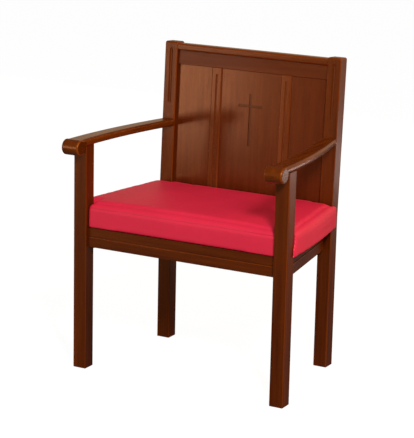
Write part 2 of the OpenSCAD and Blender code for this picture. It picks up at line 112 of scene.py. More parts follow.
class ChairFrameSizes(bpy.types.PropertyGroup):
    """Sizes of the wooden frame that the modelled pieces follow"""

    knee: length("Knee", "Height at which the rear posts begin to lean", 438 * MM)
    lean: bpy.props.FloatProperty(
        name="Lean",
        description="Lean of the back",
        default=radians(3),
        min=0.0,
        max=radians(8),
        subtype="ANGLE",
        unit="ROTATION",
    )
    arris: length("Arris", "Radius of the softened arrises of legs and posts", 2.5 * MM)
    post_crown: length("Post Crown", "Radius of the rounded top of a rear post", 6 * MM)
    flute_width: length("Flute Width", "Width of the flute down a post", 12 * MM)
    flute_depth: length("Flute Depth", "Depth of the flutes of posts and muntins", 2 * MM)
    band_height: length("Band Height", "Height of the raised lower band of a rail", 29 * MM)
    band_step: length("Band Step", "How far the band stands out", 2 * MM)
    quirk: length("Quirk", "Width of the narrow groove above the band", 2.6 * MM)
    quirk_depth: length("Quirk Depth", "Depth of that groove", 1.6 * MM)
    rail_edge: length("Rail Edge", "Radius of a rail's outer lower edge", 1.5 * MM)
    rail_back_edge: length("Rail Back Edge", "Radius of a rail's inner lower edge", 1 * MM)


class ChairArmSizes(bpy.types.PropertyGroup):
    """Sizes of the arms"""

    thickness: length("Thickness", "Thickness of the arm boards", 21 * MM)
    front_width: length("Front Width", "Width of an arm at its nose", 52 * MM)
    rear_width: length("Rear Width", "Width of an arm at the post", 44 * MM)
    bow: length("Bow", "How far each arm bows outward", 12.5 * MM)
    nose: length("Nose", "Diameter of the rolled nose", 44 * MM)
    nose_proud: length("Nose Proud", "How far the nose stands proud of the board", 0.6 * MM)
    edge: length("Edge", "Radius of the rounded edges", 8 * MM)
    rim: length("Rim", "Radius of the rounded rims of the nose", 5 * MM)
    clear: length("Clearance", "Space between an arm and its post", 0.2 * MM)


class ChairBackSizes(bpy.types.PropertyGroup):
    """Sizes of the panelled back, in its own leaning frame"""

    cap_thickness: length("Cap Thickness", "Thickness of the cap rail", 20 * MM)
    cap_drop: length("Cap Drop", "Drop of the cap rail below the post tops", 4 * MM)
    cap_setback: length("Cap Setback", "Setback of the cap rail", 1 * MM)
    cap_depth: length("Cap Depth", "Depth of the cap rail", 34 * MM)
    cap_edge: length("Cap Edge", "Radius of its rounded edges", 5 * MM)
    frieze: length("Frieze", "Height of the frieze rail", 41 * MM)
    bottom_rail: length("Bottom Rail", "Height of the bottom rail", 36 * MM)
    rail_edge: length("Rail Edge", "Radius of the edges of frieze and bottom rail", 1.6 * MM)
    stile: length("Stile Thickness", "Thickness of frieze, muntins and bottom rail", 22 * MM)
    stile_setback: length("Stile Setback", "Setback of those from the post fronts", 9 * MM)
    panel_setback: length("Panel Setback", "Setback of the panels from their frame", 4 * MM)
    panel: length("Panel Thickness", "Thickness of the panels", 9 * MM)
    muntin_width: length("Muntin Width", "Width of a muntin", 34 * MM)
    reed: length("Reed", "Radius of a muntin's outer edges", 4 * MM)
    muntin_place: length("Muntin Place", "Distance of a muntin from the middle", 112 * MM)
    tongue: length("Tongue", "How far a panel enters its groove", 5.6 * MM)
    cross_height: length("Cross Height", "Height of the cut cross", 150 * MM)
    cross_width: length("Cross Width", "Length of its bar", 76 * MM)
    cross_stroke: length("Cross Stroke", "Width of its strokes", 7 * MM)
    cross_depth: length("Cross Depth", "Depth of the cut", 2 * MM)
    cross_bar: length("Cross Bar Drop", "Drop of the bar below the cross's top", 35 * MM)
    cross_gap: length("Cross Gap", "Drop of the cross below the frieze", 65 * MM)
    cross_edge: length("Cross Edge", "Radius of the cut's edges", 0.6 * MM)


class ChairPadSizes(bpy.types.PropertyGroup):
    """Sizes of the seat pad"""

    seam_height: length("Seam Height", "Height of the seam above the pad's underside", 55 * MM)
    roll: length("Roll", "Rise of the rolled top edge above the seam", 14 * MM)
    roll_width: length("Roll Width", "Width of that rolled edge", 26 * MM)
    crown: length("Crown", "Further rise of the top in the middle", 5 * MM)
    loft: length("Loft", "Most that the padding may stand out of its solid", 2 * MM)
    front_room: length("Front Room", "Room in front of the block for its swelling", 2 * MM)
    draw: length("Draw", "How far the front is drawn in at its middle", 2 * MM)
    clear: length("Clearance", "Space between the pad and the wood", 0.6 * MM)
    back_clear: length("Back Clearance", "Space between the pad and its solid's back", 0.3 * MM)
    front_overhang: length("Front Overhang", "Overhang past a front leg", 6 * MM)
    rear_overhang: length("Rear Overhang", "Overhang past a rear post", 12 * MM)
    side_bow: length("Side Bow", "Outward bow of the sides", 6.5 * MM)
    lap: length("Lap", "How far the lower wall laps past leg and post", 15 * MM)
    lap_height: length("Lap Height", "Height of that lap", 42 * MM)
    hem: length("Hem", "Width of the hem under the board", 45 * MM)
    cover: length("Cover", "Thickness of the cover", 1.5 * MM)
    seam_depth: length("Seam Depth", "Depth of the seam", 1.8 * MM)
    seam_width: length("Seam Width", "Half the width of the seam", 2.2 * MM)
    board_inset: length("Board Inset", "Distance of the board's edge from the cover's", 5 * MM)
    swell: length("Swell", "Most that the simulated padding may swell", 6 * MM)
    voxel: length("Voxel", "Grain of the remeshed pad", 4 * MM)


class ChairColours(bpy.types.PropertyGroup):
    """Colours of the finishes, in scene linear values"""

    frame_pale: tint("Frame Pale", "Pale streaks of legs and rails", (0.130, 0.021, 0.0012))
    frame_deep: tint("Frame Deep", "Deep streaks of legs and rails", (0.048, 0.005, 0.0004))
    panel_pale: tint("Panel Pale", "Pale streaks of panels", (0.115, 0.019, 0.004))
    panel_deep: tint("Panel Deep", "Deep streaks of panels", (0.064, 0.008, 0.001))
    # The muntins' tones are paler than the frame's: partly their own tone, partly painted light for
    # the light that falls on them
    muntin_pale: tint("Muntin Pale", "Pale streaks of muntins", (0.160, 0.031, 0.006))
    muntin_deep: tint("Muntin Deep", "Deep streaks of muntins", (0.080, 0.013, 0.002))
    arm_pale: tint("Arm Pale", "Pale streaks of the arms", (0.170, 0.034, 0.002))
    arm_deep: tint("Arm Deep", "Deep streaks of the arms", (0.068, 0.009, 0.001))
    vinyl: tint("Vinyl", "The seat cover", (0.720, 0.016, 0.050))
    birch: tint("Birch", "Board, blocks and dowels", (0.570, 0.370, 0.170))
    zinc: tint("Zinc", "Screws", (0.560, 0.570, 0.590))
    floor: tint("Floor", "The floor", (0.900, 0.900, 0.900))


def chair():
    """The chair's sizes and colours in this scene."""
    return bpy.context.scene.choir_chair


# Modelling by operators


def alone(piece):
    """Selects one piece and nothing else."""
    if bpy.context.mode != "OBJECT":
        bpy.ops.object.mode_set(mode="OBJECT")
    bpy.ops.object.select_all(action="DESELECT")
    piece.select_set(True)
    bpy.context.view_layer.objects.active = piece


def settle(piece):
    """Moves the piece's place, turn and scale into its mesh."""
    alone(piece)
    bpy.ops.object.transform_apply(location=True, rotation=True, scale=True)


def named(name):
    """Names the piece that was just added."""
    piece = bpy.context.object
    piece.name = name
    piece.data.name = name
    return piece


def plank(name, low, high):
    """A sawn block between two corners."""
    low, high = Vector(low), Vector(high)
    if bpy.context.mode != "OBJECT":
        bpy.ops.object.mode_set(mode="OBJECT")
    bpy.ops.object.select_all(action="DESELECT")
    bpy.ops.mesh.primitive_cube_add(size=1, location=(low + high) / 2)
    piece = named(name)
    piece.scale = high - low
    settle(piece)
    return piece


def edit(piece, kind):
    """Opens a piece for editing with nothing selected."""
    alone(piece)
    bpy.ops.object.mode_set(mode="EDIT")
    bpy.ops.mesh.select_mode(type=kind)
    bpy.ops.mesh.select_all(action="DESELECT")
    return bmesh.from_edit_mesh(piece.data)


def done(piece):
    """Closes a piece that was opened for editing."""
    bmesh.update_edit_mesh(piece.data)
    bpy.ops.object.mode_set(mode="OBJECT")


def pick_faces(piece, wanted):
    """Opens a piece with the faces selected whose middle and normal are wanted."""
    shape = edit(piece, "FACE")
    for face in shape.faces:
        if wanted(face.calc_center_median(), face.normal):
            face.select_set(True)
    bmesh.update_edit_mesh(piece.data)


def pick_edges(piece, wanted):
    """Opens a piece with the edges selected whose middle and way are wanted."""
    shape = edit(piece, "EDGE")
    for edge in shape.edges:
        a, b = edge.verts[0].co, edge.verts[1].co
        if wanted((a + b) / 2, (b - a).normalized()):
            edge.select_set(True)
    bmesh.update_edit_mesh(piece.data)


def pick_points(piece, wanted):
    """Opens a piece with the wanted points selected."""
    shape = edit(piece, "VERT")
    for point in shape.verts:
        if wanted(point.co):
            point.select_set(True)
    bmesh.update_edit_mesh(piece.data)


def shift_points(piece, wanted, offset):
    """Moves the wanted points."""
    pick_points(piece, wanted)
    bpy.ops.transform.translate(value=offset)
    done(piece)


def pull(piece, wanted, offset):
    """Extrudes the wanted faces along an offset."""
    pick_faces(piece, wanted)
    bpy.ops.mesh.extrude_region_move(TRANSFORM_OT_translate={"value": offset})
    done(piece)


def narrow(piece, wanted, factors, centre):
    """Scales the wanted faces about a point."""
    pick_faces(piece, wanted)
    bpy.ops.transform.resize(value=factors, center_override=centre)
    done(piece)


def saw(piece, point, normal):
    """Cuts a line round the piece where a plane meets it."""
    edit(piece, "FACE")
    bpy.ops.mesh.select_all(action="SELECT")
    bpy.ops.mesh.bisect(plane_co=point, plane_no=normal)
    done(piece)


def ease(piece, wanted, radius, steps=3):
    """Rounds the wanted edges in so many steps."""
    pick_edges(piece, wanted)
    bpy.ops.mesh.bevel(offset=radius, segments=steps, affect="EDGES", clamp_overlap=True)
    done(piece)


def apply_modifier(piece, kind, **settings):
    """Adds a modifier and applies it."""
    alone(piece)
    modifier = piece.modifiers.new(kind.title(), kind)
    for key, value in settings.items():
        setattr(modifier, key, value)
    bpy.ops.object.modifier_apply(modifier=modifier.name)


def carve(piece, tool, operation="DIFFERENCE"):
    """Cuts a tool out of a piece, or joins it on, and takes the tool away."""
    apply_modifier(piece, "BOOLEAN", object=tool, operation=operation, solver="EXACT")
    bpy.data.objects.remove(tool)


def note_wear(piece):
    """Marks the middle rows of rounded edges, where the stained colour is thin."""
    least, most, narrow_width = radians(16), radians(50), 3 * MM
    shape = bmesh.new()
    shape.from_mesh(piece.data)
    layer = shape.verts.layers.float.new("bend")
    rounded = []
    for point in shape.verts:
        point[layer] = any(least < e.calc_face_angle_signed(0) < most for e in point.link_edges)
    for face in shape.faces:
        on_edge = face.calc_area() / max(e.calc_length() for e in face.edges) < narrow_width
        rounded += [corner.vert[layer] * on_edge for corner in face.loops]
    shape.free()
    worn = piece.data.attributes.new("wear", "FLOAT", "CORNER")
    worn.data.foreach_set("value", rounded)


def note_stain_and_shade(piece, wanted):
    """Marks the faces of cuts and of end grain, which the finish paints darker: painted shade in the
    cuts, and on end grain its deeper colour together with painted shade.
    """
    held = piece.data.attributes.new("stain", "FLOAT", "FACE")
    held.data.foreach_set("value", [float(wanted(f.center, f.normal)) for f in piece.data.polygons])


def polish(piece, angle=40):
    """Notes the wear of rounded edges, and shades them softly and flat faces flat."""
    note_wear(piece)
    alone(piece)
    bpy.ops.object.shade_smooth_by_angle(angle=radians(angle))
    apply_modifier(piece, "WEIGHTED_NORMAL", keep_sharp=True, weight=100)


def gouge(radius, low, high, axis_point):
    """A round-ended cutter that stands upright on a point."""
    sides, end_share, level = 24, 0.9, 0.5
    bpy.ops.object.select_all(action="DESELECT")
    bpy.ops.mesh.primitive_cylinder_add(
        vertices=sides,
        radius=radius,
        depth=high - low,
        location=(axis_point[0], axis_point[1], (low + high) / 2),
    )
    tool = named("gouge")
    settle(tool)
    ease(tool, lambda middle, way: abs(way.z) < level, radius * end_share, steps=5)
    return tool


def arch(t):
    """Rises from 0 to 1 and falls back to 0 while t runs from 0 to 1."""
    return 4 * t * (1 - t)


def reflected(piece, name):
    """A copy on the other side, with its own mesh."""
    twin = piece.copy()
    twin.data = piece.data.copy()
    twin.name = name
    twin.data.name = name
    bpy.context.collection.objects.link(twin)
    twin.scale.x = -1
    settle(twin)
    edit(twin, "FACE")
    bpy.ops.mesh.select_all(action="SELECT")
    bpy.ops.mesh.normals_make_consistent(inside=False)
    done(twin)
    return twin


def hand_over(piece, material, slot, *nodes):
    """Gives a finished piece its finish and its body, and hides the nodes that it stands for."""
    piece.data.materials.clear()
    piece.data.materials.append(material)
    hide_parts(*nodes)
    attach(piece, "root")


def post_run():
    """Length of the posts' leaning part."""
    sizes = chair().frame_sizes
    return (REAR_POST_HIGH.z - sizes.knee) / cos(sizes.lean)


def leaning():
    """The frame of the back: upright pieces placed by it lean with the posts."""
    sizes = chair().frame_sizes
    place = Matrix.Translation((0, REAR_POST_LOW.y, sizes.knee))
    return place @ Matrix.Rotation(-sizes.lean, 4, "X")


def lean_back(piece):
    """Takes an upright piece into the leaning frame of the back."""
    piece.matrix_world = leaning()
    settle(piece)


# Finishes

# How deep the grain of wood and the pressed grain of vinyl are taken to be
WOOD_RELIEF = 0.3 * MM
VINYL_RELIEF = 0.6 * MM


class Wire:
    """A shader socket that does sums as a number does."""

    def __init__(self, finish, socket):
        self.finish, self.socket = finish, socket

    def math(self, operation, first, second):
        return self.finish.node("ShaderNodeMath", {"operation": operation}, {0: first, 1: second})

    def __add__(self, other):
        return self.math("ADD", self, other)

    def __radd__(self, other):
        return self.math("ADD", other, self)

    def __sub__(self, other):
        return self.math("SUBTRACT", self, other)

    def __rsub__(self, other):
        return self.math("SUBTRACT", other, self)

    def __mul__(self, other):
        return self.math("MULTIPLY", self, other)

    def __rmul__(self, other):
        return self.math("MULTIPLY", other, self)


class Finish:
    """The node tree of one finish."""

    def __init__(self, name):
        self.material = bpy.data.materials.new(name)
        self.material.use_nodes = True
        self.tree = self.material.node_tree
        self.tree.nodes.clear()

    def node(self, kind, settings=None, values=None, output=0):
        """Adds a node with its settings and its sockets' values or links, and gives one output."""
        made = self.tree.nodes.new(kind)
        for key, value in (settings or {}).items():
            if key == "stops":
                ramp = made.color_ramp
                while len(ramp.elements) < len(value):
                    ramp.elements.new(0.5)
                for element, (place, grey) in zip(ramp.elements, value):
                    element.position = place
                    element.color = (grey, grey, grey, 1)
            else:
                setattr(made, key, value)
        for key, value in (values or {}).items():
            socket = made.inputs[key]
            if isinstance(value, Wire):
                self.tree.links.new(value.socket, socket)
            else:
                socket.default_value = value
        return Wire(self, made.outputs[output])

    def place(self):
        """The place on the piece, in metres."""
        return self.node("ShaderNodeTexCoord", output="Object")

    def marked(self, name):
        """An attribute that the modelling left on the piece."""
        return self.node("ShaderNodeAttribute", {"attribute_name": name}, output="Fac")

    def cloud(self, where, scale, detail=4.0, roughness=0.55):
        values = {"Vector": where, "Scale": scale, "Detail": detail, "Roughness": roughness}
        return self.node("ShaderNodeTexNoise", {}, values)

    def grain(self, axis, across, along, detail=4.0, roughness=0.55):
        """Clouds drawn out along one axis, finer across it."""
        scale = [across, across, across]
        scale[axis] = along
        where = self.node("ShaderNodeMapping", {}, {"Vector": self.place(), "Scale": scale})
        return self.cloud(where, 1.0, detail, roughness)

    def ramp(self, value, low, high):
        """Stretches a range to run from black to white."""
        return self.node("ShaderNodeValToRGB", {"stops": ((low, 0.0), (high, 1.0))}, {"Fac": value})

    def mix(self, factor, first, second):
        """Goes from the first colour to the second one as the factor rises."""
        settings = {"data_type": "RGBA", "clamp_factor": True}
        return self.node("ShaderNodeMix", settings, {0: factor, 6: first, 7: second}, output=2)

    def bump(self, height, strength, distance):
        values = {"Height": height, "Strength": strength, "Distance": distance}
        return self.node("ShaderNodeBump", {}, values)

    def close(self, values, fixed):
        """Ends the tree in a Principled shader."""
        shader = self.node("ShaderNodeBsdfPrincipled", {}, {**values, **fixed})
        out = self.tree.nodes.new("ShaderNodeOutputMaterial")
        self.tree.links.new(shader.socket, out.inputs["Surface"])
        return self.material


def rgba(colour, factor=1.0):
    """A colour, made darker or paler by a factor, with full alpha."""
    return (colour[0] * factor, colour[1] * factor, colour[2] * factor, 1)


def lacquered_wood(name, pale, deep, axis, dullness, worn):
    """Stained wood under lacquer, its grain running along one axis and its edges worn.

    Dullness is the least roughness of the lacquer, and worn the share of stained colour that edges
    lose. Marked cuts and end grain are painted darker: painted shade in the cuts, and on end grain
    its deeper colour together with painted shade.
    """
    finish = Finish(name)
    wear = finish.marked("wear")
    stain = finish.marked("stain")
    figure = finish.grain(axis, across=16, along=1.3, detail=3.0)
    streaks = finish.grain(axis, across=95, along=3.2, detail=5.0, roughness=0.6)
    fibres = finish.grain(axis, across=420, along=16, detail=3.0, roughness=0.6)
    pores = finish.ramp(finish.grain(axis, across=900, along=55, detail=1.0), 0.60, 0.70)
    tone = finish.ramp(figure * 0.45 + streaks * 0.4 + fibres * 0.15, 0.36, 0.64)
    colour = finish.mix(tone, rgba(deep), rgba(pale))
    colour = finish.mix(pores * 0.35, colour, rgba(deep, 0.55))
    colour = finish.mix(wear * (figure * worn), colour, rgba(pale, 1.9))
    # Painted shade in marked cuts; on marked end grain, its deeper colour together with painted
    # shade
    colour = finish.mix(stain * 0.6, colour, rgba(deep, 0.35))
    rough = (1 - streaks) * 0.10 + pores * 0.06 + dullness
    height = fibres * 0.5 - pores * 0.5 + streaks * 0.3
    return finish.close(
        {
            "Base Color": colour,
            "Roughness": rough,
            "Normal": finish.bump(height, 0.2, WOOD_RELIEF),
        },
        {
            "Specular IOR Level": 0.5,
            "Specular Tint": (1.0, 0.42, 0.15, 1),
            "Coat Weight": 0.07,
            "Coat Roughness": 0.12,
            "Coat IOR": 1.45,
        },
    )


def coated_cloth(name, red):
    """Vinyl on cloth: a fine pressed grain with painted shade in its valleys, and a soft sheen."""
    finish = Finish(name)
    where = finish.place()
    cells = finish.node(
        "ShaderNodeTexVoronoi",
        {"feature": "DISTANCE_TO_EDGE"},
        {"Vector": where, "Scale": 620.0},
    )
    pebbles = finish.ramp(cells, 0.02, 0.16)
    drift = finish.ramp(finish.cloud(where, 9.0, detail=3.0), 0.3, 0.7)
    creases = finish.cloud(where, 70.0, detail=4.0, roughness=0.6)
    colour = finish.mix(drift, rgba(red, 0.93), rgba(red, 1.05))
    # Painted shade: darker in the valleys between the pressed grain's pebbles
    colour = finish.mix((1 - pebbles) * 0.12, colour, rgba(red, 0.7))
    rough = 0.48 + creases * 0.10 - pebbles * 0.04
    height = pebbles * 0.35 + creases * 0.4
    return finish.close(
        {
            "Base Color": colour,
            "Roughness": rough,
            "Normal": finish.bump(height, 0.22, VINYL_RELIEF),
        },
        {"Specular IOR Level": 0.35, "IOR": 1.45},
    )


def bare_birch(name, pale):
    """Bare birch with faint growth lines."""
    finish = Finish(name)
    rings = finish.grain(X, across=60, along=4)
    specks = finish.grain(X, across=500, along=60, detail=2.0)
    colour = finish.mix(finish.ramp(rings, 0.35, 0.65), rgba(pale, 0.8), rgba(pale, 1.08))
    return finish.close(
        {
            "Base Color": colour,
            "Roughness": specks * 0.15 + 0.55,
            "Normal": finish.bump(rings + specks * 0.4, 0.2, WOOD_RELIEF),
        },
        {},
    )


def zinc_plate(name, grey):
    """Zinc plate with a cloudy bloom."""
    finish = Finish(name)
    bloom = finish.cloud(finish.place(), 240.0, detail=3.0)
    colour = finish.mix(bloom, rgba(grey, 0.85), rgba(grey, 1.05))
    return finish.close(
        {"Base Color": colour, "Roughness": bloom * 0.2 + 0.3},
        {"Metallic": 1.0},
    )


# Each wood's tone, the axis of its grain, its dullness and how worn its edges are
WOODS = {
    "frame_wood_upright": ("frame", Z, 0.30, 0.8),
    "frame_wood_across": ("frame", X, 0.30, 0.8),
    "frame_wood_fore_aft": ("frame", Y, 0.30, 0.8),
    "cap_wood": ("frame", X, 0.22, 0.8),
    "frieze_wood": ("panel", X, 0.36, 0.3),
    "panel_wood": ("panel", Z, 0.12, 0.3),
    # The muntins take the paler muntin tones, partly painted light
    "muntin_wood": ("muntin", Z, 0.18, 0.3),
    "arm_wood": ("arm", Y, 0.22, 0.5),
}

# The maker and the tint of each other finish
OTHER_FINISHES = {
    "crimson_vinyl": (coated_cloth, "vinyl"),
    "birch": (bare_birch, "birch"),
    "zinc": (zinc_plate, "zinc"),
}

MATERIALS = {}


def finish_named(name):
    """Makes each finish once, on first use."""
    if name in MATERIALS:
        return MATERIALS[name]
    tints = chair().colours
    if name in WOODS:
        tone, axis, dullness, worn = WOODS[name]
        pale, deep = getattr(tints, f"{tone}_pale"), getattr(tints, f"{tone}_deep")
        made = lacquered_wood(name, pale, deep, axis, dullness, worn)
    else:
        maker, tint_name = OTHER_FINISHES[name]
        made = maker(name, getattr(tints, tint_name))
    MATERIALS[name] = made
    return made


# Pieces


class CHOIRCHAIR_OT_front_legs(bpy.types.Operator):
    """Models the two front legs with softened arrises"""

    bl_idname = "choir_chair.front_legs"
    bl_label = "Front Legs"

    def execute(self, context):
        arris = chair().frame_sizes.arris
        right = plank("front_leg_right_shaped", FRONT_LEG_LOW, FRONT_LEG_HIGH)
        top = FRONT_LEG_HIGH.z
        ease(right, lambda middle, way: middle.z < top - NEAR, arris, steps=4)
        left = reflected(right, "front_leg_left_shaped")
        for piece, node in ((right, "front_leg_right"), (left, "front_leg_left")):
            polish(piece)
            hand_over(piece, finish_named("frame_wood_upright"), "mahogany_dark", node)
        return {"FINISHED"}


class CHOIRCHAIR_OT_rear_posts(bpy.types.Operator):
    """Models the two rear posts, which lean above the knee, with rounded tops and flutes"""

    bl_idname = "choir_chair.rear_posts"
    bl_label = "Rear Posts"

    def execute(self, context):
        sizes = chair().frame_sizes
        front, knee, lean = REAR_POST_LOW.y, sizes.knee, sizes.lean
        rear = front + LEG_W
        run = post_run()
        crown, crown_steps, crown_share = sizes.post_crown, 4, 0.7
        middle_x = (REAR_POST_LOW.x + REAR_POST_HIGH.x) / 2

        def top_face(c, n):
            return n.z > ALONG

        right = plank(
            "rear_post_right_shaped",
            (REAR_POST_LOW.x, front, 0),
            (REAR_POST_HIGH.x, rear, knee),
        )
        drop = LEG_W * tan(lean / 2)
        shift_points(right, lambda p: p.z > knee / 2 and p.y > front + NEAR, (0, 0, -drop))
        straight = run - crown
        pull(right, top_face, (0, straight * sin(lean), straight * cos(lean)))
        shift_points(
            right,
            lambda p: p.z > knee + NEAR and p.y > front + straight * sin(lean) + NEAR,
            (0, LEG_W * (cos(lean) - 1), drop - LEG_W * sin(lean)),
        )
        width = LEG_W
        base = Vector((middle_x, front, knee))
        way = Vector((0, sin(lean), cos(lean)))
        aside = Vector((0, cos(lean), -sin(lean)))
        for step in range(crown_steps):
            before, after = (pi / 2 * (step + i) / crown_steps for i in (0, 1))
            pull(right, top_face, way * crown * (sin(after) - sin(before)))
            inset = crown * crown_share * (cos(before) - cos(after))
            factor = (width - 2 * inset) / width
            width -= 2 * inset
            centre = base + way * (straight + crown * sin(after)) + aside * LEG_W / 2
            narrow(right, top_face, (factor, factor, 1), centre)
        steep = 0.2
        ease(right, lambda m, w: abs(w.z) > steep and m.z > 0, sizes.arris, steps=4)
        ease(right, lambda m, w: m.z < CLOSE, sizes.arris / 2, steps=2)
        deep, wide = sizes.flute_depth, sizes.flute_width
        radius = wide * wide / 8 / deep + deep / 2
        low = ARM_HIGH.z - knee + LEG_W
        high = run - LEG_W / 3
        tool = gouge(radius, low, high, (middle_x, deep - radius))
        lean_back(tool)
        carve(right, tool)
        left = reflected(right, "rear_post_left_shaped")
        for piece, node in ((right, "rear_post_right"), (left, "rear_post_left")):
            polish(piece)
            hand_over(piece, finish_named("frame_wood_upright"), "mahogany_dark", node)
        return {"FINISHED"}


class CHOIRCHAIR_OT_arms(bpy.types.Operator):
    """Models the two bowed arms with their rolled noses"""

    bl_idname = "choir_chair.arms"
    bl_label = "Arms"

    def execute(self, context):
        frame_sizes, sizes = chair().frame_sizes, chair().arm_sizes
        nose_y = ARM_LOW.y + sizes.nose / 2
        run = REAR_POST_LOW.y - nose_y
        top = ARM_HIGH.z - sizes.nose_proud
        bottom = top - sizes.thickness
        outward_share = 1 / 8
        leg_x = (FRONT_LEG_LOW.x + FRONT_LEG_HIGH.x) / 2
        nose_x = leg_x + (LEG_W - sizes.front_width) * outward_share
        post_x = (REAR_POST_LOW.x + REAR_POST_HIGH.x) / 2
        slope = tan(frame_sizes.lean)
        end = REAR_POST_LOW.y + (bottom - frame_sizes.knee) * slope - sizes.clear

        def middle(t):
            t = min(t, 1)
            return nose_x + (post_x - nose_x) * t + sizes.bow * arch(t)

        def width(t):
            return sizes.front_width + (sizes.rear_width - sizes.front_width) * min(t, 1)

        def rear_face(c, n):
            return n.y > ALONG

        count, first_slice = 16, 1 * MM
        places = [nose_y + run * i / count for i in range(count + 1)] + [end]
        right = plank(
            "arm_right_shaped",
            (nose_x - width(0) / 2, places[0], bottom),
            (nose_x + width(0) / 2, places[0] + first_slice, top),
        )
        for i in range(1, len(places)):
            t0, t1 = ((places[j] - nose_y) / run for j in (i - 1, i))
            ahead = places[i] - places[i - 1] - (first_slice if i == 1 else 0)
            pull(right, rear_face, (middle(t1) - middle(t0), ahead, 0))
            centre = (middle(t1), places[i], (top + bottom) / 2)
            narrow(right, rear_face, (width(t1) / width(t0), 1, 1), centre)
        shift_points(
            right,
            lambda p: p.y > end - CLOSE and p.z > top - NEAR,
            (0, sizes.thickness * slope, 0),
        )
        bowed = 0.7
        ease(right, lambda m, w: abs(w.y) > bowed, sizes.edge, steps=6)
        self.nose(right, Vector((nose_x, nose_y, ARM_HIGH.z - sizes.nose / 2)))
        left = reflected(right, "arm_left_shaped")
        for piece, node in ((right, "arm_right"), (left, "arm_left")):
            polish(piece, angle=35)
            hand_over(piece, finish_named("arm_wood"), "mahogany_light", node)
        return {"FINISHED"}

    def nose(self, arm, place):
        """Joins the rolled nose to an arm, and marks its end grain, which is painted darker as its
        deeper colour together with painted shade.
        """
        sizes = chair().arm_sizes
        sides, round_way, flat_end = 64, 0.5, 0.95
        bpy.ops.object.select_all(action="DESELECT")
        bpy.ops.mesh.primitive_cylinder_add(
            vertices=sides,
            radius=sizes.nose / 2,
            depth=sizes.front_width + 2 * sizes.nose_proud,
            location=place,
            rotation=(0, pi / 2, 0),
        )
        roll = named("nose")
        settle(roll)
        ease(roll, lambda m, w: abs(w.x) < round_way, sizes.rim, steps=5)
        carve(arm, roll, "UNION")
        past = place.y + sizes.nose / 2
        # The nose's end faces are painted darker: end grain colour together with painted shade
        note_stain_and_shade(arm, lambda c, n: abs(n.x) > flat_end and c.y < past)


def banded_rail(name, low, high, facing):
    """A rail along X with a raised, eased band and a quirk above it.

    Facing is -1 where the band is on the front, and 1 where it is on the rear.
    """
    sizes = chair().frame_sizes
    low, high = Vector(low), Vector(high)
    face = low.y if facing < 0 else high.y
    if facing < 0:
        low.y += sizes.band_step
    else:
        high.y -= sizes.band_step
    rail = plank(name, low, high)
    line = low.z + sizes.band_height
    saw(rail, (0, 0, line), (0, 0, 1))
    saw(rail, (0, 0, line + sizes.quirk), (0, 0, 1))

    def outward(c, n):
        return n.y * facing > ALONG

    pull(rail, lambda c, n: outward(c, n) and c.z < line, (0, sizes.band_step * facing, 0))
    pull(
        rail,
        lambda c, n: outward(c, n) and line < c.z < line + sizes.quirk,
        (0, -sizes.quirk_depth * facing, 0),
    )
    near = sizes.band_step / 2

    def long_edge(y, z):
        return lambda m, w: abs(w.x) > ALONG and abs(m.y - y) < near and abs(m.z - z) < near

    band_share = 0.9
    ease(rail, long_edge(face, line), sizes.band_step * band_share, steps=4)
    ease(rail, long_edge(face, low.z), sizes.rail_edge)
    ease(rail, long_edge(high.y if facing < 0 else low.y, low.z), sizes.rail_back_edge, steps=2)
    return rail


class CHOIRCHAIR_OT_seat_rails(bpy.types.Operator):
    """Models the four banded seat rails"""

    bl_idname = "choir_chair.seat_rails"
    bl_label = "Seat Rails"

    def execute(self, context):
        front = banded_rail("front_rail_shaped", FRONT_RAIL_LOW, FRONT_RAIL_HIGH, -1)
        rear = banded_rail("rear_rail_shaped", REAR_RAIL_LOW, REAR_RAIL_HIGH, 1)
        for piece, node in ((front, "front_rail"), (rear, "rear_rail")):
            polish(piece)
            hand_over(piece, finish_named("frame_wood_across"), "mahogany_dark", node)
        span = SIDE_RAIL_HIGH.y - SIDE_RAIL_LOW.y
        offset = (REAR_POST_LOW.x + REAR_POST_HIGH.x - FRONT_LEG_LOW.x - FRONT_LEG_HIGH.x) / 2
        inner = FRONT_LEG_LOW.x
        thick = SIDE_RAIL_HIGH.x - inner
        drop = FRONT_RAIL_HIGH.z - SIDE_RAIL_LOW.z
        right = banded_rail(
            "side_rail_right_shaped",
            (-span / 2, -thick, SIDE_RAIL_LOW.z),
            (span / 2, 0, SIDE_RAIL_LOW.z + drop),
            -1,
        )
        middle_y = (SIDE_RAIL_LOW.y + SIDE_RAIL_HIGH.y) / 2
        turn = Matrix.Rotation(pi / 2, 4, "Z")
        right.matrix_world = Matrix.Translation((inner, middle_y, 0)) @ turn
        settle(right)
        edge = SIDE_RAIL_HIGH.y - NEAR
        shift_points(right, lambda p: p.y > edge, (offset, 0, 0))
        left = reflected(right, "side_rail_left_shaped")
        for piece, node in ((right, "side_rail_right"), (left, "side_rail_left")):
            polish(piece)
            hand_over(piece, finish_named("frame_wood_fore_aft"), "mahogany_dark", node)
        return {"FINISHED"}


def back_levels():
    """Heights of the cap's top, the frieze's top and its lower edge, in the leaning frame."""
    sizes = chair().back_sizes
    cap_top = post_run() - sizes.cap_drop
    frieze_top = cap_top - sizes.cap_thickness
    return cap_top, frieze_top, frieze_top - sizes.frieze


